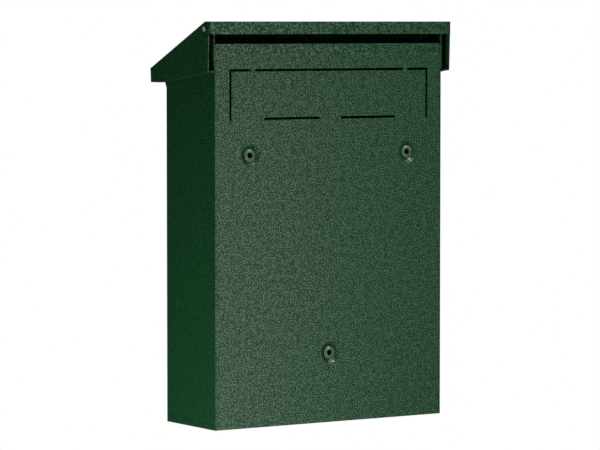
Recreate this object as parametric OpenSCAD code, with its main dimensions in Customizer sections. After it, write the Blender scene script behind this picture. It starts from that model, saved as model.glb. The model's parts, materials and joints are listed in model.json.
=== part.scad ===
// Wall mounted letter box of folded and painted sheet steel.
// The lid is a pitched pan that swings up at the front on two pins behind it, the front
// door swings to the left on two upright pins, and a cam lock holds the door shut.
// Axes: X runs across the box, +Y points into the wall, Z is up.
// Origin: centre of the upper pair of wall fixings, on the plane of the box's back.
// Heights named *_z are measured from the underside of the box.

/* [Body] */
// Width across the side walls
body_w = 270; // [250:1:300]
// Depth from the back to the front wall
body_d = 95; // [90:1:130]
// Height of the back panel
back_h = 380; // [380:1:400]
// Height of the front wall, without its leaning lip
front_h = 336; // [334:1:338]
// Thickness of the steel sheet
sheet_t = 1; // [0.8:0.1:1.2]
// Outer radius of the upright bends at the front corners
bend_r = 2.5; // [2:0.5:4]

/* [Wall fixings] */
// Distance between the two upper fixings
fix_pitch = 188; // [160:1:200]
// Height of the two upper fixings
fix_upper_z = 270; // [250:1:280]
// Drop from the upper fixings to the lower one
fix_drop = 200; // [160:1:210]
// Diameter of the hole for the wall screw
fix_bore_d = 6; // [5:0.5:7]
// Diameter of the pressed recess around each fixing
recess_d = 22; // [22:1:26]
// Depth of the pressed recess
recess_depth = 3; // [2.5:0.5:4]

/* [Knock-out in the back] */
// Width between the two upright slits
knock_w = 234.4; // [200:1:240]
// Height of the lower slit
knock_low_z = 306; // [300:1:320]
// Height of the upper slit
knock_top_z = 354; // [340:1:358]
// Width of a slit
slit_w = 2.4; // [1.5:0.1:2.8]

/* [Lid] */
// Width across the cheeks of the lid
lid_w = 288.7; // [286:0.1:320]
// Height of the lid at the back
lid_top_z = 402; // [402:1:410]
// Height of the front edge of the roof
lid_front_top_z = 355.3; // [352:0.1:358]
// How far the lid reaches in front of the body
lid_front_over = 14.2; // [12:0.1:20]
// How far the lid's rear lip stands behind the back panel
lid_rear_over = 3.7; // [3:0.1:5]
// Height of the rear lip
rear_lip_h = 12.5; // [10:0.5:14]
// Width of the inward flange under each cheek
cheek_flange_w = 6.6; // [5:0.1:7]

/* [Door] */
// Width of the opening in the front wall
opening_w = 242; // [230:1:244]
// Lower edge of the opening
opening_low_z = 18; // [16:1:30]
// Upper edge of the opening
opening_top_z = 314; // [300:1:318]
// Depth of the folded edges of door and opening
return_d = 14; // [12:1:16]
// Gap above and below the door and at its free edge
door_gap = 0.9; // [0.8:0.1:2]
// Gap at the door's hinged edge
hinge_gap = 1.6; // [1.5:0.1:2.5]

/* [Lock] */
// Distance of the lock from the middle of the door
lock_x = 90; // [80:1:95]
// Height of the lock
lock_z = 200; // [150:1:220]
// Length of the cam from its axis to its tip
cam_len = 38; // [34:1:39]

/* [Hidden] */
$fn = 64;
eps = 0.5;

painted = [0.22, 0.32, 0.25];
zinc = [0.72, 0.72, 0.70];
black_rubber = [0.12, 0.12, 0.12];
white_nylon = [0.88, 0.88, 0.84];

wall_in = body_w / 2 - sheet_t;
front_y = -body_d;

// Fixings, as X and height.
fixings = [[-fix_pitch / 2, fix_upper_z], [fix_pitch / 2, fix_upper_z], [0, fix_upper_z - fix_drop]];
recess_run = 4;
recess_wall = sheet_t * norm([recess_run, recess_depth]) / recess_depth;
grommet_r = 6.5;
grommet_tip_r = 3.9;
grommet_neck_r = 4.5;
grommet_inner_flange = [7, 1.6];
dome_centre = (pow(grommet_r, 2) - pow(grommet_tip_r, 2) + pow(recess_depth, 2)) / (2 * recess_depth);

// Back panel: the strip along its top is set in by one sheet.
back_half_w = wall_in - 0.1;
joggle_z = 369.6;
top_flange_d = 8;
side_flange_d = 8;
pan_h = 12;
bridge_x = [88.4, 93.4];
low_slit_x = [12.6, 78.4];

// Lid: roof slope and swing axis.
lid_front_y = front_y - lid_front_over;
roof_break_y = -3.4;
roof_pitch = atan2(lid_top_z - lid_front_top_z, roof_break_y - lid_front_y);
skirt_bottom_z = 341.2;
skirt_in = 1;
skirt_hem = 5;
cheek_flat_y = -92;
cheek_rear = [2, 352.4];
lip_relief = 1;
pin_y = -3.8;
pin_z = 394.6;
pin_r = 2;
running = 0.05;
pin_head_r = 3.4;
pin_head_h = 1.1;
cheek_in = lid_w / 2 - sheet_t;

// Hinge ears, outside the side walls.
ear_t = 1.2;
ear_d = 13.5;
ear_low_z = 355;
ear_shoulder_z = 390;
ear_r = 3.8;

// Side walls: their top edges run under the roof at its pitch.
side_top_front_z = 342.2;
side_top_rear_y = -ear_d;
side_top_rear_z = side_top_front_z + (side_top_rear_y - front_y) * tan(roof_pitch);
side_hem_w = 8;
front_lip = [2.8, 5.8];

// Door pan and its pivots.
door_left = -opening_w / 2 + hinge_gap;
door_right = opening_w / 2 - door_gap;
door_low_z = opening_low_z + door_gap;
door_top_z = opening_top_z - door_gap;
door_back_y = front_y + return_d;
pivot_in = 5;
pivot_x = door_left + pivot_in;
pivot_y = front_y + pivot_in;
pivot_r = 2;
pivot_head = [3.4, 1.5];
bush_r = 3;
bush_collar = [4.4, 0.5];
bush_len = 2.6;
stop_lip_w = 6;
stop_lip_from = 20;
frame_back_y = door_back_y + 2;
buffer_disc = [3, 0.7];
buffer_z = [60, 270];
stiffener_z = [110, 140];
stiffener_half_w = 100;
stiffener_d = 8;

// Lid buffers stand between roof and side wall, square to the roof.
lid_buffer_r = 3.6;
lid_buffer_y = -80;

// Lock, along Y.
rosette = [11, 2.2];
gasket_t = 0.6;
barrel_r = 9;
barrel_back_y = frame_back_y + 0.2;
plug_r = 5.5;
plug_head = [7, 1.2];
plug_gap = 0.3;
cam_t = 2;
cam_y = barrel_back_y + plug_gap;
cam_w = 16;
tail_w = 6.5;
cam_screw = [2, 4.5, 2.4];
key_slot = [1.4, 7, 3];
nut_r = 13;
nut_t = 4;

// Name plate.
name_z = 262;
name_size = [92, 26];
name_pocket = [72, 20];
name_view = [66, 14];
name_t = 2.6;
card_t = 0.5;
window_t = 1;
name_rivet = [1.6, 2.6, 1];
name_rivet_x = 41;

function unit(v) = v / norm(v);
function left_of(v) = [-v[1], v[0]];
// Point i of a folded line moved to the line's left by t, mitred at the bends.
function mitred(path, i, t) = let (
    last = len(path) - 1,
    before = unit(path[max(i, 1)] - path[max(i, 1) - 1]),
    after = unit(path[min(i, last - 1) + 1] - path[min(i, last - 1)]),
    m = left_of(before) + left_of(after)
) path[i] + 2 * t * m / (m * m);

// Moves a piece drawn from the underside of the box into the part's frame.
module from_underside() {
    translate([0, 0, -fix_upper_z]) children();
}

// Draws a (Y, Z) outline and gives it the width x0 to x1.
module across(x0, x1) {
    translate([x0, 0, 0]) rotate([90, 0, 90]) linear_extrude(x1 - x0) children();
}

// Cross-section of a sheet folded along a line, with the thickness on its left.
module fold(path, t = sheet_t) {
    last = len(path) - 1;
    polygon(concat(path, [for (i = [last:-1:0]) mitred(path, i, t)]));
}

module both_sides() {
    children();
    mirror([1, 0, 0]) children();
}

// Points a shape drawn along +Z towards -Y.
module towards_front() {
    rotate([90, 0, 0]) children();
}

module at_fixings() {
    for (p = fixings) translate([p[0], 0, p[1]]) towards_front() children();
}

// Plan of the body with rounded front corners, open at the back.
module plan(half_w, front, r) {
    translate([-half_w, front + r]) square([2 * half_w, -front - r]);
    translate([-half_w + r, front]) square([2 * (half_w - r), r]);
    for (s = [-1, 1]) translate([s * (half_w - r), front + r]) circle(r);
}

module wrap_plan() {
    difference() {
        plan(body_w / 2, front_y, bend_r);
        translate([0, eps]) plan(wall_in, front_y + sheet_t - eps, bend_r - sheet_t);
    }
}

module opening_block(grow, y0, y1) {
    translate([-opening_w / 2 - grow, y0, opening_low_z - grow])
        cube([opening_w + 2 * grow, y1 - y0, opening_top_z - opening_low_z + 2 * grow]);
}

// Front wall and both side walls, folded from one sheet, with the edges of the door
// opening turned in, a stop lip at its free edge and its top, and a leaning lip along the
// top of the front.
module body_shell() color(painted) from_underside() {
    difference() {
        intersection() {
            linear_extrude(back_h) wrap_plan();
            across(-body_w, body_w) polygon([[front_y - 1, 0], [1, 0], [1, side_top_rear_z],
                [side_top_rear_y, side_top_rear_z], [front_y, side_top_front_z],
                [front_y - 1, side_top_front_z]]);
        }
        translate([-wall_in, front_y - 1, front_h + eps]) cube([2 * wall_in, 1 + bend_r, back_h]);
        opening_block(0, front_y - 1, front_y + 2);
    }
    across(-wall_in, wall_in) fold([[front_y - front_lip[0], front_h + front_lip[1]], [front_y, front_h]]);
    difference() {
        opening_block(sheet_t, front_y + sheet_t / 2, frame_back_y);
        opening_block(0, front_y, frame_back_y + 1);
        translate([pivot_x, pivot_y, -1]) cylinder(r = pivot_r, h = back_h);
    }
    translate([opening_w / 2 - stop_lip_w, frame_back_y - sheet_t, opening_low_z - sheet_t])
        cube([stop_lip_w + sheet_t, sheet_t, opening_top_z - opening_low_z + 2 * sheet_t]);
    translate([-opening_w / 2 + stop_lip_from, frame_back_y - sheet_t, opening_top_z - stop_lip_w])
        cube([opening_w - stop_lip_from, sheet_t, stop_lip_w + sheet_t / 2]);
    hem_start = [front_y + 4, side_top_front_z + 4 * tan(roof_pitch)];
    both_sides() across(wall_in - side_hem_w, wall_in + eps)
        fold([[side_top_rear_y, side_top_rear_z], hem_start]);
}

// Back panel between the side walls: inset strip and flange along the top, flanges down
// both sides, three pressed recesses and the slits of the rear letter knock-out.
module back_panel() color(painted) from_underside() difference() {
    union() {
        across(-back_half_w, back_half_w) fold([[0, 0], [0, joggle_z - sheet_t], [-sheet_t, joggle_z],
            [-sheet_t, back_h], [-top_flange_d, back_h]]);
        both_sides() translate([back_half_w - sheet_t, -side_flange_d, 14])
            cube([sheet_t, side_flange_d - eps, joggle_z - 16]);
        at_fixings() recess_cone(0, recess_depth + sheet_t, recess_d / 2 + recess_wall);
    }
    at_fixings() {
        recess_cone(-eps, recess_depth, recess_d / 2);
        cylinder(h = recess_depth + 2, r = grommet_neck_r);
    }
    knock_out_slits();
}

// Cone of the recess wall from depth y0 to y1, with radius r in the plane of the back.
module recess_cone(y0, y1, r) {
    slope = recess_run / recess_depth;
    translate([0, 0, y0]) cylinder(h = y1 - y0, r1 = r - slope * y0, r2 = r - slope * y1);
}

module slit(x0, x1, z0, z1) {
    translate([x0, -2, z0]) cube([x1 - x0, 3, z1 - z0]);
}

module knock_out_slits() {
    low = knock_low_z - slit_w / 2;
    top = knock_top_z + slit_w / 2;
    edge = knock_w / 2 + slit_w / 2;
    slit(-bridge_x[0], bridge_x[0], top - slit_w, top);
    both_sides() {
        slit(bridge_x[1], edge, top - slit_w, top);
        slit(edge - slit_w, edge, low, top);
        slit(low_slit_x[0], low_slit_x[1], low, low + slit_w);
    }
}

// Plan of the space inside the walls, t in from the outer faces.
module pan_plan(t) {
    difference() {
        plan(body_w / 2 - t, front_y + t, bend_r - t + 0.01);
        translate([-body_w, -t]) square([2 * body_w, body_d]);
    }
}

// Bottom tray with its edges turned up inside the walls and four drain holes.
module bottom_pan() color(painted) from_underside() difference() {
    linear_extrude(pan_h) pan_plan(sheet_t);
    translate([0, 0, sheet_t]) linear_extrude(pan_h) pan_plan(2 * sheet_t);
    for (x = [-110, 110], y = [front_y + 15, -15]) translate([x, y, -1]) cylinder(r = 2.5, h = 4);
}

// Ear plate that carries one lid pin, welded to the outside of a side wall.
module hinge_ear() color(painted) from_underside() difference() {
    across(body_w / 2, body_w / 2 + ear_t) difference() {
        union() {
            polygon([[-ear_d, ear_low_z], [0, ear_low_z], [0, pin_z], [pin_y, pin_z + ear_r],
                [pin_y - ear_r * sin(45), pin_z + ear_r * sin(45)], [-ear_d, ear_shoulder_z]]);
            translate([pin_y, pin_z]) circle(ear_r);
        }
        translate([pin_y, pin_z]) circle(pin_r + running);
    }
}

module right_hinge_ear() hinge_ear();

module left_hinge_ear() mirror([1, 0, 0]) hinge_ear();

// Rubber grommets that seal the wall screws: a dome in the recess and a flange inside.
module fixing_grommets() color(black_rubber) from_underside() at_fixings() difference() {
    union() {
        intersection() {
            translate([0, 0, dome_centre]) sphere(r = norm([grommet_tip_r, dome_centre]));
            cylinder(r = grommet_r, h = recess_depth);
        }
        translate([0, 0, recess_depth - 0.1]) cylinder(r = grommet_neck_r, h = sheet_t + 0.2);
        translate([0, 0, recess_depth + sheet_t])
            cylinder(r = grommet_inner_flange[0], h = grommet_inner_flange[1]);
    }
    translate([0, 0, -1]) cylinder(d = fix_bore_d, h = 20);
}

// Lid folded from one sheet: roof, rear lip, front skirt and two cheeks with flanges.
module lid_shell() color(painted) from_underside() {
    skirt = [lid_front_y + skirt_in, skirt_bottom_z];
    rear = [lid_rear_over, lid_top_z];
    roof_front = [lid_front_y, lid_front_top_z];
    difference() {
        across(-lid_w / 2, lid_w / 2) fold([rear - [0, rear_lip_h], rear, [roof_break_y, lid_top_z],
            roof_front, skirt, skirt + [skirt_hem, 0]]);
        both_sides() translate([cheek_in - lip_relief, lid_rear_over - sheet_t - eps, 0])
            cube([lip_relief, 3 * sheet_t, lid_top_z - 1]);
    }
    both_sides() {
        across(cheek_in, lid_w / 2) difference() {
            polygon([cheek_rear, rear, [roof_break_y, lid_top_z], roof_front, skirt,
                [cheek_flat_y, skirt_bottom_z]]);
            translate([pin_y, pin_z]) circle(pin_r);
        }
        across(cheek_in - cheek_flange_w, cheek_in + sheet_t / 2)
            fold([skirt, [cheek_flat_y, skirt_bottom_z], cheek_rear]);
    }
}

// Along X at the swing axis of the lid, on both sides, from distance x outwards.
module at_lid_pins(x) {
    both_sides() translate([x, pin_y, pin_z]) rotate([0, 90, 0]) children();
}

// Pins of the lid, riveted in the cheeks and turning in the ears.
module lid_hinge_pins() color(zinc) from_underside() {
    dome_r = (pin_head_r * pin_head_r + pin_head_h * pin_head_h) / (2 * pin_head_h);
    tail_x = body_w / 2 - 2.5;
    at_lid_pins(tail_x) cylinder(r = pin_r, h = lid_w / 2 - tail_x);
    at_lid_pins(lid_w / 2) intersection() {
        translate([0, 0, pin_head_h - dome_r]) sphere(r = dome_r);
        cylinder(r = pin_head_r, h = pin_head_h);
    }
}

// Nylon sleeves that centre the lid between the ears.
module lid_hinge_spacers() color(white_nylon) from_underside() {
    start = body_w / 2 + ear_t + 0.4;
    at_lid_pins(start) difference() {
        cylinder(r = 4, h = cheek_in - start);
        cylinder(r = pin_r, h = cheek_in);
    }
}

// Spring clips pushed on the inner ends of the lid pins.
module lid_pin_clips() color(zinc) from_underside() {
    at_lid_pins(body_w / 2 - 1.4) difference() {
        cylinder(r = 4.5, h = 1);
        cylinder(r = pin_r, h = 4);
    }
}

// Rubber buffers under the roof, which land on the hems of the side walls.
module lid_buffers() color(black_rubber) from_underside() {
    height = lid_buffer_z(sheet_t) - side_hem_z();
    both_sides() translate([wall_in - side_hem_w / 2, lid_buffer_y, lid_buffer_z(sheet_t)])
        rotate([roof_pitch, 0, 0]) translate([0, 0, 0.3 - height * cos(roof_pitch)])
            cylinder(r = lid_buffer_r, h = height * cos(roof_pitch) - 0.3);
}
function lid_buffer_z(t) = lid_top_z + (lid_buffer_y - roof_break_y) * tan(roof_pitch) - t / cos(roof_pitch);
function side_hem_z() = side_top_front_z + (lid_buffer_y - front_y) * tan(roof_pitch);

// Upright pins that the door turns on, held in the turned-in edges of the opening.
module door_pivot_pins() color(zinc) from_underside() {
    reach = sheet_t + door_gap + bush_len;
    translate([pivot_x, pivot_y, opening_top_z - reach + sheet_t]) {
        cylinder(r = pivot_r, h = reach);
        translate([0, 0, reach]) cylinder(r = pivot_head[0], h = pivot_head[1]);
    }
    translate([pivot_x, pivot_y, opening_low_z - sheet_t]) {
        cylinder(r = pivot_r, h = reach);
        translate([0, 0, -pivot_head[1]]) cylinder(r = pivot_head[0], h = pivot_head[1]);
    }
}

// Rubber discs on the stop lip of the opening, where the door's free edge lands.
module door_buffers() color(black_rubber) from_underside() {
    for (z = buffer_z) translate([opening_w / 2 - buffer_disc[0] - 0.2, frame_back_y - sheet_t, z])
        towards_front() cylinder(r = buffer_disc[0], h = buffer_disc[1]);
}

// Door folded to a shallow pan, drilled for the lock, the name plate and the bushes.
module door_panel() color(painted) from_underside() {
    width = door_right - door_left;
    height = door_top_z - door_low_z;
    difference() {
        translate([door_left, 0, door_low_z]) difference() {
            linear_extrude(height) translate([width / 2, door_back_y])
                plan(width / 2, -return_d, bend_r);
            translate([sheet_t, front_y + sheet_t, sheet_t])
                cube([width - 2 * sheet_t, return_d, height - 2 * sheet_t]);
        }
        translate([pivot_x, pivot_y, 0]) cylinder(r = bush_r, h = back_h);
        translate([lock_x, front_y + 3, lock_z]) towards_front() cylinder(r = barrel_r, h = 5);
        for (s = [-1, 1]) translate([s * name_rivet_x, front_y + 3, name_z])
            towards_front() cylinder(r = name_rivet[0], h = 5);
    }
}

// Hat-shaped stiffener welded across the inside of the door.
module door_stiffener() color(painted) from_underside() {
    y = front_y + sheet_t;
    z = stiffener_z;
    across(-stiffener_half_w, stiffener_half_w) fold([[y, z[0] - 8], [y, z[0]],
        [y + stiffener_d, z[0] + 2], [y + stiffener_d, z[1] - 2], [y, z[1]], [y, z[1] + 8]], -sheet_t);
}

module bush() difference() {
    union() {
        translate([0, 0, -bush_len]) cylinder(r = bush_r, h = bush_len);
        cylinder(r = bush_collar[0], h = bush_collar[1]);
    }
    translate([0, 0, -2 * bush_len]) cylinder(r = pivot_r + running, h = 4 * bush_len);
}

// Collared nylon bushes pressed into the top and bottom edges of the door.
module door_bushes() color(white_nylon) from_underside() {
    translate([pivot_x, pivot_y, door_top_z]) bush();
    translate([pivot_x, pivot_y, door_low_z]) mirror([0, 0, 1]) bush();
}

// Along -Y at the lock, starting at depth y.
module at_lock(y) {
    translate([lock_x, y, lock_z]) towards_front() children();
}

module lock_barrel() color(zinc) from_underside() {
    face_y = front_y - gasket_t;
    difference() {
        union() {
            at_lock(barrel_back_y) cylinder(r = barrel_r, h = barrel_back_y - face_y);
            at_lock(face_y) cylinder(r = rosette[0], h = rosette[1]);
        }
        at_lock(barrel_back_y + 1) cylinder(r = plug_r + running, h = 40);
        at_lock(face_y - rosette[1] + plug_head[1]) cylinder(r = plug_head[0] + plug_gap, h = 5);
    }
}

module lock_gasket() color(black_rubber) from_underside() {
    at_lock(front_y) difference() {
        cylinder(r = rosette[0] - 0.5, h = gasket_t);
        translate([0, 0, -1]) cylinder(r = barrel_r, h = 3);
    }
}

// Flat nut that clamps the barrel from inside the door.
module lock_nut() color(zinc) from_underside() {
    at_lock(front_y + sheet_t + nut_t) difference() {
        cylinder(r = nut_r, h = nut_t, $fn = 6);
        translate([0, 0, -1]) cylinder(r = barrel_r, h = nut_t + 2);
    }
}

// Turning plug with the key slot in front and a square tail for the cam.
module lock_plug() color(zinc) from_underside() {
    head_back_y = front_y - gasket_t - rosette[1] + plug_head[1] - plug_gap;
    difference() {
        union() {
            at_lock(barrel_back_y) cylinder(r = plug_r, h = barrel_back_y - head_back_y);
            at_lock(head_back_y) cylinder(r = plug_head[0], h = plug_head[1]);
            at_lock(cam_y + cam_t) translate([-tail_w / 2, -tail_w / 2, 0])
                cube([tail_w, tail_w, cam_t + 2 * plug_gap]);
        }
        at_lock(cam_y + cam_t + 1) cylinder(r = cam_screw[0], h = 9);
        at_lock(head_back_y - plug_head[1] + key_slot[2])
            translate([-key_slot[0] / 2, -key_slot[1] / 2, 0]) cube([key_slot[0], key_slot[1], 5]);
    }
}

// Flat cam with a round boss end and a blunt tip. It hangs down when the door is unlocked.
module lock_cam() color(zinc) from_underside() {
    at_lock(cam_y + cam_t) linear_extrude(cam_t) difference() {
        union() {
            circle(d = cam_w);
            translate([-cam_w / 2, -cam_len + 4]) square([cam_w, cam_len - 4]);
            for (s = [-1, 1]) translate([s * (cam_w / 2 - 4), -cam_len + 4]) circle(4);
            translate([-cam_w / 2 + 4, -cam_len]) square([cam_w - 8, 5]);
        }
        square(tail_w, center = true);
    }
}

module lock_cam_screw() color(zinc) from_underside() difference() {
    union() {
        at_lock(cam_y + cam_t) cylinder(r = cam_screw[0], h = 8);
        at_lock(cam_y + cam_t + cam_screw[2]) cylinder(r = cam_screw[1], h = cam_screw[2]);
    }
    at_lock(cam_y + cam_t + cam_screw[2] + eps) for (a = [0, 90]) rotate(a)
        translate([-0.6, -3, 0]) cube([1.2, 6, 1.8]);
}

// A flat plate in the plane of the door, standing t proud of depth y.
module door_plate(size, y, t) {
    translate([-size[0] / 2, y - t, name_z - size[1] / 2]) cube([size[0], t, size[1]]);
}

// Frame of the name plate, hollow behind for the card and its window.
module name_holder() color("gainsboro") from_underside() difference() {
    door_plate(name_size, front_y, name_t);
    door_plate(name_pocket, front_y + 1, card_t + window_t + 1.2);
    door_plate(name_view, front_y + 1, name_t + 2);
    for (s = [-1, 1]) translate([s * name_rivet_x, front_y + 1, name_z])
        towards_front() cylinder(r = name_rivet[0], h = 5);
}

module name_card() color("ivory") from_underside() {
    door_plate(name_pocket - [0.6, 0.6], front_y, card_t);
}

module name_window() color("lightblue", 0.4) from_underside() {
    door_plate(name_pocket - [0.4, 0.4], front_y - card_t, window_t);
}

// Rivets of the name plate, set flat inside the door.
module name_rivets() color(zinc) from_underside() {
    inner_y = front_y + sheet_t;
    outer_y = front_y - name_t;
    for (s = [-1, 1]) translate([s * name_rivet_x, 0, name_z]) towards_front() {
        translate([0, 0, -inner_y]) cylinder(r = name_rivet[0], h = inner_y - outer_y);
        translate([0, 0, -outer_y]) cylinder(r = name_rivet[1], h = name_rivet[2]);
        translate([0, 0, -inner_y - name_rivet[2]]) cylinder(r = name_rivet[1], h = name_rivet[2]);
    }
}

body_shell();
back_panel();
bottom_pan();
left_hinge_ear();
right_hinge_ear();
fixing_grommets();
door_pivot_pins();
door_buffers();
lid_shell();
lid_hinge_pins();
lid_hinge_spacers();
lid_pin_clips();
lid_buffers();
door_panel();
door_stiffener();
door_bushes();
lock_barrel();
lock_gasket();
lock_nut();
lock_plug();
lock_cam();
lock_cam_screw();
name_holder();
name_card();
name_window();
name_rivets();
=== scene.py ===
import json
import math

import bmesh
import bpy
from mathutils import Matrix, Vector


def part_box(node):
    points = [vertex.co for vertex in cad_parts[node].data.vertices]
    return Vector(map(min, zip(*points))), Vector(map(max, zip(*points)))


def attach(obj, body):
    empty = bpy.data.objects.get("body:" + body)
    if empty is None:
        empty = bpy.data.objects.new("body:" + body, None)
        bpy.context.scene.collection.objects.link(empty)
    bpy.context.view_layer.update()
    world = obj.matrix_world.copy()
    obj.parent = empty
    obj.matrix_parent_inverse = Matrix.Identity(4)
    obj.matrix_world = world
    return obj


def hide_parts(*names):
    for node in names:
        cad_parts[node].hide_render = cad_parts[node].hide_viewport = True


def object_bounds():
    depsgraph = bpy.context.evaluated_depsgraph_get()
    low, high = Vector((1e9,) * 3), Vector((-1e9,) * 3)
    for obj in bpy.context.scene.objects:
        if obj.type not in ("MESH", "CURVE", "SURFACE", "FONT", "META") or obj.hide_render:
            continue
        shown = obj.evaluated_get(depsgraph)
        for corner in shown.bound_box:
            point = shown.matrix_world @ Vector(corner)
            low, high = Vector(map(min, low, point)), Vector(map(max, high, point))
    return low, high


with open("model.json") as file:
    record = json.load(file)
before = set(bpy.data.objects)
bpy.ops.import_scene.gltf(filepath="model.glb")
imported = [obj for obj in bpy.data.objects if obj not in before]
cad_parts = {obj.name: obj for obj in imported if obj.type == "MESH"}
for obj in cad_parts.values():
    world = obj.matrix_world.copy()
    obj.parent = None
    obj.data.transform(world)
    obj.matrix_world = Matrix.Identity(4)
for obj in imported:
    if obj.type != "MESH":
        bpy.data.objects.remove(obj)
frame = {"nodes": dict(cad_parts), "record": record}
cad_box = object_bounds()

# ---- Viewpoint -----------------------------------------------------------------------
# A long lens behind the box, a little above it, so that the back panel, one side wall
# and the underside of the lid's rear lip are seen.
VIEW_YAW = math.radians(32.83)
VIEW_FALL = math.radians(3.53)
lens = bpy.data.cameras.new("studio_camera")
lens.sensor_width = 36
lens.lens = 197.4
lens.clip_end = 50
camera = bpy.data.objects.new("studio_camera", lens)
bpy.context.scene.collection.objects.link(camera)
camera.location = (1.8095, 2.7487, 0.1314)
camera.rotation_euler = (math.pi / 2 - VIEW_FALL, 0, math.pi - VIEW_YAW)
bpy.context.scene.camera = camera

# ---- Body shell ----------------------------------------------------------------------
# Front wall and side walls folded from one millimetre of sheet steel. The folds have the
# radius of the press brake, and the cut edges are softened by a thick powder coat.
SHEET = 0.001
FOLD_RADIUS = 0.0013
CUT_EDGE = 0.0003
WELD = 1e-6
FLUSH_ANGLE = math.radians(0.4)
SHARP_ANGLE = math.radians(20)


class Value:
    """A number or colour that varies over a surface or shape. Arithmetic adds Math nodes."""

    def __init__(self, graph, socket):
        self.graph = graph
        self.socket = socket

    def _math(self, operation, a, b):
        return self.graph.node("ShaderNodeMath", {"operation": operation}, {0: a, 1: b})

    def __add__(self, other):
        return self._math("ADD", self, other)

    def __sub__(self, other):
        return self._math("SUBTRACT", self, other)

    def __rsub__(self, other):
        return self._math("SUBTRACT", other, self)

    def __mul__(self, other):
        return self._math("MULTIPLY", self, other)

    def __truediv__(self, other):
        return self._math("DIVIDE", self, other)

    __radd__ = __add__


class Graph:
    """A node tree that is filled through one method."""

    def __init__(self, tree):
        self.tree = tree

    def node(self, kind, settings=None, sockets=None, out=0):
        node = self.tree.nodes.new(kind)
        for name, value in (settings or {}).items():
            if name == "stops":
                ramp = node.color_ramp
                while len(ramp.elements) < len(value):
                    ramp.elements.new(1.0)
                for element, (place, tone) in zip(ramp.elements, value):
                    element.position = place
                    element.color = (tone, tone, tone, 1)
            else:
                setattr(node, name, value)
        for name, value in (sockets or {}).items():
            if isinstance(value, Value):
                self.tree.links.new(value.socket, node.inputs[name])
            else:
                node.inputs[name].default_value = value
        return Value(self, node.outputs[out])


class Finish(Graph):
    """A material that starts as a bare Principled surface."""

    def __init__(self, name, **surface):
        self.material = bpy.data.materials.new(name)
        self.material.use_nodes = True
        super().__init__(self.material.node_tree)
        self.surface = self.tree.nodes["Principled BSDF"]
        for socket, value in surface.items():
            self.surface.inputs[socket.replace("_", " ")].default_value = value
        self.place = self.node("ShaderNodeTexCoord", out="Object")

    def noise(self, scale, detail=2.0, roughness=0.5, stretch=(1, 1, 1)):
        place = self.node("ShaderNodeVectorMath", {"operation": "MULTIPLY"},
                          {0: self.place, 1: stretch})
        return self.node("ShaderNodeTexNoise", {"noise_dimensions": "3D"},
                         {"Vector": place, "Scale": scale, "Detail": detail,
                          "Roughness": roughness})

    def ramp(self, value, *stops):
        return self.node("ShaderNodeValToRGB", {"stops": stops}, {"Fac": value})

    def mix(self, factor, a, b):
        return self.node("ShaderNodeMix", {"data_type": "RGBA"}, {0: factor, 6: a, 7: b}, out=2)

    def feed(self, **links):
        for socket, value in links.items():
            self.tree.links.new(value.socket, self.surface.inputs[socket.replace("_", " ")])

    def bump(self, height, depth, strength=1.0):
        self.feed(Normal=self.node("ShaderNodeBump", {}, {"Height": height, "Distance": depth,
                                                          "Strength": strength}))


def hammer_green():
    """Dark green textured powder coat: fine beads, some of them with a glossy crown."""
    paint = Finish("green_paint", Specular_IOR_Level=0.20, Coat_IOR=2.1, Coat_Roughness=0.34)
    bead = paint.noise(690, 1.0)
    clump = paint.noise(170, 1.0)
    lump = paint.noise(800, 1.0)
    gloss = paint.ramp(bead * 0.86 + clump * 0.14, (0.48, 0.0), (0.59, 1.0))
    dark = (0.0085, 0.0740, 0.0235, 1)
    light = (0.0245, 0.1520, 0.0530, 1)
    paint.feed(Base_Color=paint.mix(gloss * 0.7 + clump * 0.3, dark, light),
               Roughness=0.52 - gloss * 0.14, Coat_Weight=gloss)
    paint.bump(lump, 0.00014, 1.0)
    return paint.material


GREEN = hammer_green()


def strip_width(face):
    """Width of a face if it is a long strip: a sheet's cut edge is as wide as the sheet."""
    return 2 * face.calc_area() / face.calc_perimeter()


def bake(piece):
    """Turns a piece with its modifiers into a plain mesh of its own."""
    graph = bpy.context.evaluated_depsgraph_get()
    mesh = bpy.data.meshes.new_from_object(piece.evaluated_get(graph))
    piece.modifiers.clear()
    piece.data = mesh


def place(piece, body, slot, material, *nodes):
    """Gives a finished piece its material and body and hides the CAD nodes it stands for. The slot
    is not used.
    """
    piece.data.materials.clear()
    piece.data.materials.append(material)
    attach(piece, body)
    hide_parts(*nodes)
    return piece


def eased(node, name, body, slot, material, fold=FOLD_RADIUS, cut=CUT_EDGE, thin=1.6 * SHEET,
          crown=None):
    """A CAD piece with round folds, a crown along its top and softened cut edges.

    A face narrower than thin is the cut edge of a sheet."""
    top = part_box(node)[1].z - SHEET / 2
    widest = max(fold, crown or 0)
    mesh = frame["nodes"][node].data.copy()
    work = bmesh.new()
    work.from_mesh(mesh)
    bmesh.ops.remove_doubles(work, verts=work.verts, dist=WELD)
    bmesh.ops.dissolve_limit(work, angle_limit=FLUSH_ANGLE, verts=work.verts, edges=work.edges)
    weight = work.edges.layers.float.new("bevel_weight_edge")
    for edge in work.edges:
        if len(edge.link_faces) != 2 or edge.calc_face_angle() < SHARP_ANGLE:
            continue
        folded = edge.is_convex and min(map(strip_width, edge.link_faces)) > thin
        along_top = min(vertex.co.z for vertex in edge.verts) > top
        radius = crown if folded and crown and along_top else fold if folded else cut
        edge[weight] = radius / widest
    work.to_mesh(mesh)
    work.free()
    piece = bpy.data.objects.new(name, mesh)
    bpy.context.scene.collection.objects.link(piece)
    mesh.shade_smooth()
    bevel = piece.modifiers.new("ease", "BEVEL")
    bevel.limit_method = "WEIGHT"
    bevel.width = widest
    bevel.segments = 3
    level = piece.modifiers.new("level", "WEIGHTED_NORMAL")
    level.mode = "FACE_AREA_WITH_ANGLE"
    level.weight = 80
    bake(piece)
    return place(piece, body, slot, material, node)


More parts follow.
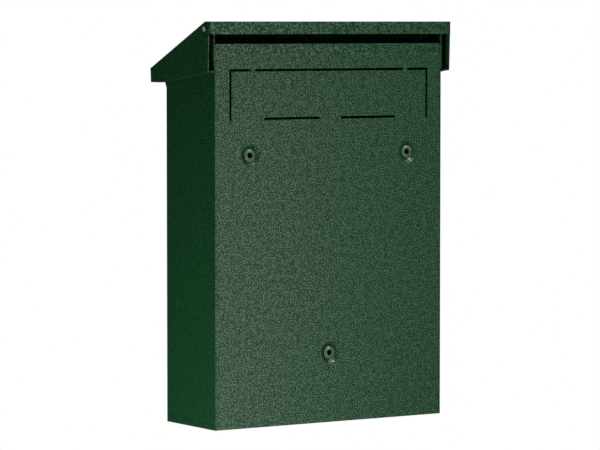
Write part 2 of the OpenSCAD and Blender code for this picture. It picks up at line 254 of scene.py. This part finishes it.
eased("body_shell", "shell", "box", "green_paint", GREEN)

# ---- Back panel ----------------------------------------------------------------------
# A separate sheet set between the side walls, with a strip pressed in along the top,
# three round recesses for the wall screws and the slits of the rear knock-out.
eased("back_panel", "back_sheet", "box", "green_paint", GREEN, cut=0.0004, crown=0.003)

# ---- Bottom pan ----------------------------------------------------------------------
# A shallow tray with its edges turned up, spot welded inside the walls and drilled so
# that rain runs out.
eased("bottom_pan", "bottom_tray", "box", "green_paint", GREEN)

# ---- Hinge ears ----------------------------------------------------------------------
# Two steel plates welded outside the side walls. They stand up under the roof and carry
# the lid pins.
for side in ("left", "right"):
    eased(f"{side}_hinge_ear", f"{side}_ear", "box", "green_paint", GREEN)

# ---- Wall grommets -------------------------------------------------------------------
# Moulded rubber grommets pulled through the three recesses. A dome fills the recess and
# a flat flange seals inside, and the wall screw squeezes both.


def rubber():
    """Matt black rubber with a dusty bloom."""
    finish = Finish("black_rubber", Specular_IOR_Level=0.35)
    bloom = finish.ramp(finish.noise(260, 3.0, 0.6), (0.42, 0.0), (0.66, 1.0))
    finish.feed(Base_Color=finish.mix(bloom, (0.016, 0.015, 0.014, 1), (0.048, 0.044, 0.041, 1)),
                Roughness=0.42 + bloom * 0.25)
    finish.bump(finish.noise(1500, 2.0), 0.00005, 0.5)
    return finish.material


def grey_rubber():
    """Smooth dark grey rubber, still shiny from the mould, its colour tinted by a painted
    reflection of the green paint.
    """
    finish = Finish("grey_rubber", Specular_IOR_Level=0.5)
    bloom = finish.ramp(finish.noise(420, 3.0, 0.6), (0.40, 0.0), (0.64, 1.0))
    # Painted reflection: both colours carry a green tint, standing for the green paint reflected
    # from round the recess.
    finish.feed(Base_Color=finish.mix(bloom, (0.130, 0.205, 0.150, 1), (0.210, 0.310, 0.235, 1)),
                Roughness=bloom * 0.10 + 0.22)
    finish.bump(finish.noise(1100, 1.0), 0.00003, 0.6)
    return finish.material


RUBBER = rubber()


class Shape(Graph):
    """A Geometry Nodes tree with named inputs, whose points carry turned parts."""

    def __init__(self, name, *sizes):
        super().__init__(bpy.data.node_groups.new(name, "GeometryNodeTree"))
        face = self.tree.interface
        face.new_socket("Points", in_out="INPUT", socket_type="NodeSocketGeometry")
        for size in sizes:
            face.new_socket(size, in_out="INPUT", socket_type="NodeSocketFloat")
        face.new_socket("Finish", in_out="INPUT", socket_type="NodeSocketMaterial")
        face.new_socket("Geometry", in_out="OUTPUT", socket_type="NodeSocketGeometry")
        self.entry = self.tree.nodes.new("NodeGroupInput")
        self.exit = self.tree.nodes.new("NodeGroupOutput")

    def given(self, label):
        return Value(self, self.entry.outputs[label])

    def point(self, radius, height):
        return self.node("ShaderNodeCombineXYZ", {}, {"X": radius, "Y": 0 - height})

    def turned(self, corners, rounding):
        """Turns a four-cornered outline (radius, height) about the axis, corners rounded."""
        spine_radius = 0.02
        outline = self.node("GeometryNodeCurvePrimitiveQuadrilateral", {"mode": "POINTS"},
                            {f"Point {i + 1}": self.point(r - spine_radius, h)
                             for i, (r, h) in enumerate(corners)})
        rounded = self.node("GeometryNodeFilletCurve", {"mode": "POLY"},
                            {"Curve": outline, "Radius": rounding, "Count": 4,
                             "Limit Radius": True})
        spine = self.node("GeometryNodeCurvePrimitiveCircle", {"mode": "RADIUS"},
                          {"Resolution": 48, "Radius": spine_radius})
        return self.node("GeometryNodeCurveToMesh", {}, {"Curve": spine, "Profile Curve": rounded})

    def joined(self, *shapes):
        join = self.tree.nodes.new("GeometryNodeJoinGeometry")
        for shape in reversed(shapes):
            self.tree.links.new(shape.socket, join.inputs[0])
        return Value(self, join.outputs[0])

    def stand(self, part):
        """Stands the part on every point, along the point's axis, and closes the tree."""
        axis = self.node("GeometryNodeInputNamedAttribute", {"data_type": "FLOAT_VECTOR"},
                         {"Name": "axis"})
        turn = self.node("FunctionNodeAlignRotationToVector", {"axis": "Z"}, {"Vector": axis})
        copies = self.node("GeometryNodeInstanceOnPoints", {},
                           {"Points": self.given("Points"), "Instance": part, "Rotation": turn})
        solid = self.node("GeometryNodeRealizeInstances", {}, {"Geometry": copies})
        smooth = self.node("GeometryNodeSetShadeSmooth", {}, {"Geometry": solid})
        done = self.node("GeometryNodeSetMaterial", {},
                         {"Geometry": smooth, "Material": self.given("Finish")})
        self.tree.links.new(done.socket, self.exit.inputs["Geometry"])
        return self


def set_out(name, shape, points, body, slot, material, nodes, **sizes):
    """Stands the shape's part on points, each a (place, axis) pair, as one plain mesh."""
    mesh = bpy.data.meshes.new(name)
    mesh.from_pydata([p for p, _ in points], [], [])
    axes = mesh.attributes.new("axis", "FLOAT_VECTOR", "POINT")
    for item, (_, axis) in zip(axes.data, points):
        item.vector = axis
    piece = bpy.data.objects.new(name, mesh)
    bpy.context.scene.collection.objects.link(piece)
    modifier = piece.modifiers.new("parts", "NODES")
    modifier.node_group = shape.tree
    values = dict(sizes, Finish=material)
    for socket in shape.tree.interface.items_tree:
        if socket.name in values:
            modifier[socket.identifier] = values[socket.name]
    bake(piece)
    clean = bmesh.new()
    clean.from_mesh(piece.data)
    bmesh.ops.remove_doubles(clean, verts=clean.verts, dist=WELD)
    bmesh.ops.recalc_face_normals(clean, faces=clean.faces)
    clean.to_mesh(piece.data)
    clean.free()
    level = piece.modifiers.new("level", "WEIGHTED_NORMAL")
    level.keep_sharp = True
    bake(piece)
    return place(piece, body, slot, material, *nodes)


def grommet_shape():
    """A domed ring in the recess, a neck through the sheet and a flange behind it."""
    shape = Shape("grommet", "Bore", "Tip", "Dome", "Recess", "Neck", "Flange", "Depth")
    bore, dome, recess = shape.given("Bore"), shape.given("Dome"), shape.given("Recess")
    flange, depth = shape.given("Flange"), shape.given("Depth")
    crown = shape.turned([(bore, 0.0), (shape.given("Tip"), 0.0), (dome, recess * 0.55),
                          (dome, recess)], 0.0012)
    core = shape.turned([(bore, recess * 0.3), (shape.given("Neck"), recess * 0.3),
                         (shape.given("Neck"), depth * 0.9), (bore, depth * 0.9)], 0.0002)
    seal = shape.turned([(bore, recess + SHEET), (flange, recess + SHEET), (flange, depth),
                         (bore, depth)], 0.0004)
    return shape.stand(shape.joined(crown, core, seal))


RECESS = 0.003
to_front = Vector((0, -1, 0))
fixings = frame["record"]["mounts"]
pitch = fixings[0]["dims"]["spacing_x_mm"] / 1000
bore = fixings[0]["dims"]["hole_r_mm"] / 1000
drop = fixings[1]["pos_m"][2]
screw_points = [(Vector((x, 0, z)), to_front)
                for x, z in ((-pitch / 2, 0), (pitch / 2, 0), (0, drop))]
grommet_depth = -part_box("fixing_grommets")[0].y
set_out("wall_grommets", grommet_shape(), screw_points, "box", "grey_rubber",
        grey_rubber(), ["fixing_grommets"], Bore=bore, Tip=0.0042, Dome=0.0065, Recess=RECESS,
        Neck=0.0045, Flange=0.007, Depth=grommet_depth)

# ---- Lid -----------------------------------------------------------------------------
# Roof, rear lip, front skirt and both cheeks folded from one sheet. Short reliefs part
# the rear lip from the cheeks, and the bottom of each cheek is turned in as a flange.
eased("lid_shell", "lid", "lid", "green_paint", GREEN)

# ---- Lid pins ------------------------------------------------------------------------
# Steel pins with domed heads, riveted in the cheeks before painting. They turn in the
# ears, and a push-on spring clip inside each ear keeps them there.


def zinc():
    """Bright zinc plating with a faint blue and straw bloom."""
    finish = Finish("zinc_plate", Metallic=1.0)
    bloom = finish.ramp(finish.noise(120, 3.0, 0.6), (0.35, 0.0), (0.65, 1.0))
    grain = finish.noise(1600, 2.0)
    finish.feed(Base_Color=finish.mix(bloom, (0.50, 0.53, 0.57, 1), (0.66, 0.62, 0.53, 1)),
                Roughness=bloom * 0.12 + grain * 0.16 + 0.24)
    finish.bump(grain, 0.00003, 0.7)
    return finish.material


ZINC = zinc()


def pin_shape(name, tailed):
    """A domed head on the point, a shank behind it and, on a rivet, an upset tail."""
    shape = Shape(name, "Head", "Rise", "Shank", "Length", "Tail", "Upset")
    head, rise, shank = shape.given("Head"), shape.given("Rise"), shape.given("Shank")
    length, upset = shape.given("Length"), shape.given("Upset")
    parts = [shape.turned([(0.0, 0.0), (head, 0.0), (head * 0.74, rise * 0.84), (0.0, rise)],
                          0.0003),
             shape.turned([(0.0, rise * 0.3), (shank, rise * 0.3), (shank, length * -1),
                           (0.0, length * -1)], 0.0003)]
    if tailed:
        tail = shape.given("Tail")
        end = length * -1 - upset
        parts.append(shape.turned([(0.0, length * -1), (tail, length * -1), (tail, end),
                                   (0.0, end)], 0.0004))
    return shape.stand(shape.joined(*parts))


def middle_of(node):
    low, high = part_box(node)
    return (low + high) / 2


def left_and_right(distance, axis):
    """Two points on a swing axis, at a distance to each side and looking outwards."""
    return [(Vector((side * distance, axis.y, axis.z)), Vector((side, 0, 0))) for side in (-1, 1)]


def green_with_painted_highlight(axis):
    """The same green with a painted highlight: near-white in the middle of each head, for a crown
    worn bright.
    """
    finish = Finish("painted_pins", Specular_IOR_Level=0.6, Roughness=0.40)
    across = finish.node("ShaderNodeVectorMath", {"operation": "MULTIPLY"},
                         {0: finish.place, 1: (0, 1, 1)})
    away = finish.node("ShaderNodeVectorMath", {"operation": "DISTANCE"},
                       {0: across, 1: (0, axis.y, axis.z)}, out="Value")
    chips_and_highlight_edge = finish.noise(1200, 2.0)
    # Painted highlight: towards the middle of each head the colour turns near-white, not metallic.
    painted_highlight = finish.ramp(2.7 - away * 1000 + chips_and_highlight_edge * 0.4, (0.35, 0.0), (0.85, 1.0))
    finish.feed(Base_Color=finish.mix(painted_highlight, (0.016, 0.105, 0.037, 1), (0.90, 0.94, 0.90, 1)))
    finish.bump(chips_and_highlight_edge, 0.00003, 0.6)
    return finish.material


PIN_RADIUS = 0.002
PIN_HEAD = 0.0034
PIN_LENGTH = 0.01185
lid_axis = middle_of("lid_hinge_pins")
lid_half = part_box("lid_shell")[1].x
PIN = pin_shape("pin", False)
set_out("lid_pins", PIN, left_and_right(lid_half, lid_axis), "lid", "painted_pins",
        green_with_painted_highlight(lid_axis), ["lid_hinge_pins"], Head=PIN_HEAD, Rise=0.0011, Shank=PIN_RADIUS,
        Length=PIN_LENGTH)


def clip_shape():
    """A dished ring that grips the pin with its inner edge."""
    shape = Shape("clip", "Bore", "Rim", "Height")
    bore, rim, height = shape.given("Bore"), shape.given("Rim"), shape.given("Height")
    dish = shape.turned([(bore, height * 0.45), (rim, 0.0), (rim, height * 0.5), (bore, height)],
                        0.0002)
    return shape.stand(dish)


CLIP_HEIGHT = 0.001
clip_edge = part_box("lid_pin_clips")[1]
set_out("pin_clips", clip_shape(), left_and_right(clip_edge.x - CLIP_HEIGHT, lid_axis), "lid",
        "zinc_plate", ZINC, ["lid_pin_clips"], Bore=PIN_RADIUS, Rim=clip_edge.z - lid_axis.z,
        Height=CLIP_HEIGHT)

# ---- Nylon bearings ------------------------------------------------------------------
# Moulded nylon sleeves centre the lid between its ears, and collared nylon bushes are
# pressed into the top and bottom of the door, so that paint never rubs on paint.


def nylon():
    """Natural nylon, slightly cloudy and polished where it was gated."""
    finish = Finish("white_nylon", Specular_IOR_Level=0.5)
    cloud = finish.ramp(finish.noise(180, 2.0), (0.3, 0.0), (0.7, 1.0))
    finish.feed(Base_Color=finish.mix(cloud, (0.66, 0.65, 0.58, 1), (0.80, 0.79, 0.74, 1)),
                Roughness=0.50 - cloud * 0.15)
    finish.bump(finish.noise(1300, 2.0), 0.00002, 0.6)
    return finish.material


NYLON = nylon()


def collar_shape():
    """A plain ring, or a disc where its bore is nothing."""
    shape = Shape("collar", "Bore", "Rim", "Height", "Round")
    bore, rim, height = shape.given("Bore"), shape.given("Rim"), shape.given("Height")
    ring = shape.turned([(bore, 0.0), (rim, 0.0), (rim, height), (bore, height)],
                        shape.given("Round"))
    return shape.stand(ring)


def bush_shape():
    """A sleeve in the sheet with a collar outside it."""
    shape = Shape("bush", "Bore", "Sleeve", "Length", "Collar", "Height")
    bore, sleeve, length = shape.given("Bore"), shape.given("Sleeve"), shape.given("Length")
    collar, height = shape.given("Collar"), shape.given("Height")
    inner = shape.turned([(bore, length * -1), (sleeve, length * -1), (sleeve, height * 0.5),
                          (bore, height * 0.5)], 0.0002)
    outer = shape.turned([(bore, 0.0), (collar, 0.0), (collar, height), (bore, height)], 0.0003)
    return shape.stand(shape.joined(inner, outer))


COLLAR = collar_shape()
SPACER_LENGTH = 0.00675
SPACER_RADIUS = 0.004
spacer_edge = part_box("lid_hinge_spacers")[1].x
set_out("lid_spacers", COLLAR, left_and_right(spacer_edge - SPACER_LENGTH, lid_axis), "lid",
        "white_nylon", NYLON, ["lid_hinge_spacers"], Bore=PIN_RADIUS, Rim=SPACER_RADIUS,
        Height=SPACER_LENGTH, Round=0.0004)


def above_and_below(node, rise):
    """Two points on a node's upright axis, rise short of its ends and looking outwards."""
    low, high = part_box(node)
    axis = (low + high) / 2
    return [(Vector((axis.x, axis.y, high.z - rise)), Vector((0, 0, 1))),
            (Vector((axis.x, axis.y, low.z + rise)), Vector((0, 0, -1)))]


BUSH_COLLAR = 0.0005
set_out("door_bearings", bush_shape(), above_and_below("door_bushes", BUSH_COLLAR), "door",
        "white_nylon", NYLON, ["door_bushes"], Bore=0.00205, Sleeve=0.003, Length=0.0026,
        Collar=0.0044, Height=BUSH_COLLAR)

# ---- Door pivots ---------------------------------------------------------------------
# Headed steel pins dropped through the turned-in edges of the opening and staked.
HEAD_HEIGHT = 0.0015
set_out("door_pins", PIN, above_and_below("door_pivot_pins", HEAD_HEIGHT), "box", "zinc_plate",
        ZINC, ["door_pivot_pins"], Head=PIN_HEAD, Rise=HEAD_HEIGHT, Shank=PIN_RADIUS, Length=0.0048)

# ---- Rubber pads ---------------------------------------------------------------------
# Moulded stops under the roof and self-adhesive discs on the stop lip of the opening,
# which keep the lid and the door from ringing when they fall shut.
pad_low, pad_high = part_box("door_buffers")
pad_radius = (pad_high.x - pad_low.x) / 2
pad_points = [(Vector((pad_low.x + pad_radius, pad_high.y, z)), to_front)
              for z in (pad_low.z + pad_radius, pad_high.z - pad_radius)]
set_out("door_pads", COLLAR, pad_points, "box", "black_rubber", RUBBER, ["door_buffers"],
        Bore=0.0, Rim=pad_radius, Height=pad_high.y - pad_low.y, Round=0.0002)
eased("lid_buffers", "lid_pads", "lid", "black_rubber", RUBBER, fold=0.0004, thin=0)

# ---- Door ----------------------------------------------------------------------------
# A shallow pan that fills the opening in the front wall, stiffened by a hat profile that
# is spot welded across its inside.
eased("door_panel", "door_pan", "door", "green_paint", GREEN)
eased("door_stiffener", "door_rib", "door", "green_paint", GREEN)

# ---- Cam lock ------------------------------------------------------------------------
# A chromed barrel with its rosette outside, a rubber gasket under it and a zinc plated
# nut inside. The plug turns in the barrel and carries a flat cam on a screw.


def chrome():
    """Chrome plate with faint polishing haze and hairline wear round the key slot."""
    finish = Finish("chrome_plate", Metallic=1.0)
    haze = finish.ramp(finish.noise(150, 4.0, 0.7), (0.40, 0.0), (0.70, 1.0))
    hair = finish.noise(420, 2.0, 0.5, (6, 6, 1))
    finish.feed(Base_Color=finish.mix(haze, (0.72, 0.73, 0.75, 1), (0.60, 0.60, 0.61, 1)),
                Roughness=haze * 0.14 + hair * 0.06 + 0.06)
    finish.bump(hair, 0.00001, 0.5)
    return finish.material


CHROME = chrome()
LOCK_EASE = 0.0004
eased("lock_barrel", "lock_body", "door", "chrome_plate", CHROME, fold=LOCK_EASE, thin=0)
eased("lock_nut", "lock_ring_nut", "door", "zinc_plate", ZINC, fold=LOCK_EASE, thin=0)
eased("lock_plug", "lock_core", "lock", "chrome_plate", CHROME, fold=0.0003, thin=0)
eased("lock_cam", "lock_tongue", "lock", "zinc_plate", ZINC, fold=0.0003, thin=0)
eased("lock_cam_screw", "lock_tail_screw", "lock", "zinc_plate", ZINC, fold=0.0003, thin=0)
seal_low, seal_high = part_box("lock_gasket")
seal_point = middle_of("lock_gasket")
seal_point.y = seal_high.y
set_out("lock_seal", COLLAR, [(seal_point, to_front)], "door", "black_rubber", RUBBER,
        ["lock_gasket"], Bore=0.009, Rim=(seal_high.x - seal_low.x) / 2,
        Height=seal_high.y - seal_low.y, Round=0.0002)

# ---- Name plate ----------------------------------------------------------------------
# A satin aluminium frame riveted to the door. A card lies in its pocket behind a clear
# window, with a little air between them, and both slide out when the rivets are drilled.


def satin_aluminium():
    """Aluminium brushed along the frame and clear anodised."""
    finish = Finish("name_frame", Metallic=1.0)
    brush = finish.noise(60, 3.0, 0.7, (0.6, 30, 30))
    cloud = finish.noise(35, 2.0)
    finish.feed(Base_Color=finish.mix(brush, (0.55, 0.56, 0.57, 1), (0.74, 0.74, 0.74, 1)),
                Roughness=brush * 0.16 + cloud * 0.10 + 0.22)
    finish.bump(brush, 0.00003, 0.5)
    return finish.material


def card_paper():
    """Ivory card with visible fibre and one printed rule to write on."""
    finish = Finish("card", Specular_IOR_Level=0.3)
    fibre = finish.noise(500, 4.0, 0.7, (1, 1, 2.5))
    height = finish.node("ShaderNodeSeparateXYZ", {}, {0: finish.place}, out="Z")
    rule = finish.node("ShaderNodeMath", {"operation": "COMPARE"},
                       {0: height, 1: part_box("name_card")[0].z + 0.006, 2: 0.00015})
    paper = finish.mix(fibre, (0.70, 0.66, 0.54, 1), (0.84, 0.81, 0.72, 1))
    finish.feed(Base_Color=finish.mix(rule, paper, (0.16, 0.17, 0.18, 1)),
                Roughness=0.85 - fibre * 0.15)
    finish.bump(fibre, 0.00004, 0.5)
    return finish.material


def clear_acrylic():
    """Clear acrylic sheet with a little dust haze."""
    finish = Finish("clear_window", Specular_IOR_Level=1.0, IOR=1.49)
    dust = finish.ramp(finish.noise(320, 3.0, 0.7), (0.45, 0.0), (0.75, 1.0))
    finish.feed(Base_Color=finish.mix(dust, (0.80, 0.84, 0.84, 1), (0.62, 0.63, 0.61, 1)),
                Roughness=dust * 0.15 + 0.05, Alpha=dust * 0.05 + 0.04)
    return finish.material


eased("name_holder", "name_frame", "door", "name_frame", satin_aluminium(), fold=0.0007, thin=0)
AIR = 0.0001
slip = eased("name_card", "name_slip", "door", "card", card_paper(), fold=0.0001, thin=0)
slip.data.transform(Matrix.Translation((0, AIR, 0)))
eased("name_window", "name_pane", "door", "clear_window", clear_acrylic(), fold=0.0002, thin=0)
RIVET_RISE = 0.001
rivet_low, rivet_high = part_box("name_rivets")
RIVET_RADIUS = (rivet_high.z - rivet_low.z) / 2
rivet_points = [(Vector((x, rivet_low.y + RIVET_RISE, rivet_low.z + RIVET_RADIUS)), to_front)
                for x in (rivet_low.x + RIVET_RADIUS, rivet_high.x - RIVET_RADIUS)]
set_out("name_plate_rivets", pin_shape("rivet", True), rivet_points, "door", "zinc_plate", ZINC,
        ["name_rivets"], Head=RIVET_RADIUS, Rise=RIVET_RISE, Shank=0.0016,
        Length=rivet_high.y - rivet_low.y - 2 * RIVET_RISE, Tail=RIVET_RADIUS, Upset=RIVET_RISE)

# ---- Studio --------------------------------------------------------------------------
# A pale floor as far below the box as on a wall, fading into a white surround. A broad key
# light stands high beside the viewpoint, and low soft lights put a sheen on the back.
box_low, box_high = cad_box
middle = (box_low + box_high) / 2
FLOOR_DROP = 1.35
FLOOR_RADIUS = 6.0
FADE_FROM = 0.8
FADE_OVER = 1.2


def soft_light(name, position, size, power):
    """A rectangular soft box that looks at the middle of the part."""
    data = bpy.data.lights.new(name, "AREA")
    data.shape = "RECTANGLE"
    data.size, data.size_y = size
    data.energy = power
    light = bpy.data.objects.new(name, data)
    bpy.context.scene.collection.objects.link(light)
    light.location = position
    light.rotation_euler = (middle - light.location).to_track_quat("-Z", "Y").to_euler()


floor_mesh = bpy.data.meshes.new("floor")
floor_work = bmesh.new()
bmesh.ops.create_circle(floor_work, cap_ends=True, segments=96, radius=FLOOR_RADIUS)
bmesh.ops.translate(floor_work, verts=floor_work.verts, vec=(0, 0, box_low.z - FLOOR_DROP))
floor_work.to_mesh(floor_mesh)
floor_work.free()
floor = bpy.data.objects.new("floor", floor_mesh)
bpy.context.scene.collection.objects.link(floor)
pale = Finish("pale_floor", Base_Color=(0.86, 0.86, 0.86, 1), Roughness=0.9)
reach = pale.node("ShaderNodeVectorMath", {"operation": "LENGTH"}, {0: pale.place}, out="Value")
near = pale.ramp((reach - FADE_FROM) / FADE_OVER, (0.0, 1.0), (1.0, 0.0))
pale.feed(Alpha=near)
floor_mesh.materials.append(pale.material)

soft_light("key_left", (2.4, 0.6, 1.1), (1.1, 1.1), 3.46)
soft_light("back_strip", (-0.6, 1.1, 1.7), (1.4, 0.5), 16)
soft_light("sheen_near", (-0.253, 0.773, -0.242), (0.3, 0.8), 1.09)
soft_light("sheen_mid", (-0.542, 0.924, -0.178), (0.5, 0.9), 0.482)
soft_light("side_low", (0.55, 0.25, -0.6), (0.35, 0.35), 2.89)
soft_light("overhead", (0.1, 0.2, 2), (1.6, 1.6), 5)
soft_light("front_key", (-1.5, -2.5, 1.4), (2.6, 2.6), 62)
soft_light("front_fill", (-0.5, -2.6, 0.2), (1.6, 1.6), 3)

world = bpy.data.worlds.new("studio")
world.use_nodes = True
bpy.context.scene.world = world
sky = Graph(world.node_tree)
seen = sky.node("ShaderNodeLightPath", out="Is Camera Ray")
backdrop = world.node_tree.nodes["Background"]
tone = sky.node("ShaderNodeMix", {"data_type": "RGBA"},
                {0: seen, 6: (0.002, 0.002, 0.002, 1), 7: (1, 1, 1, 1)}, out=2)
world.node_tree.links.new(tone.socket, backdrop.inputs["Color"])
bpy.context.scene.view_settings.view_transform = "Standard"
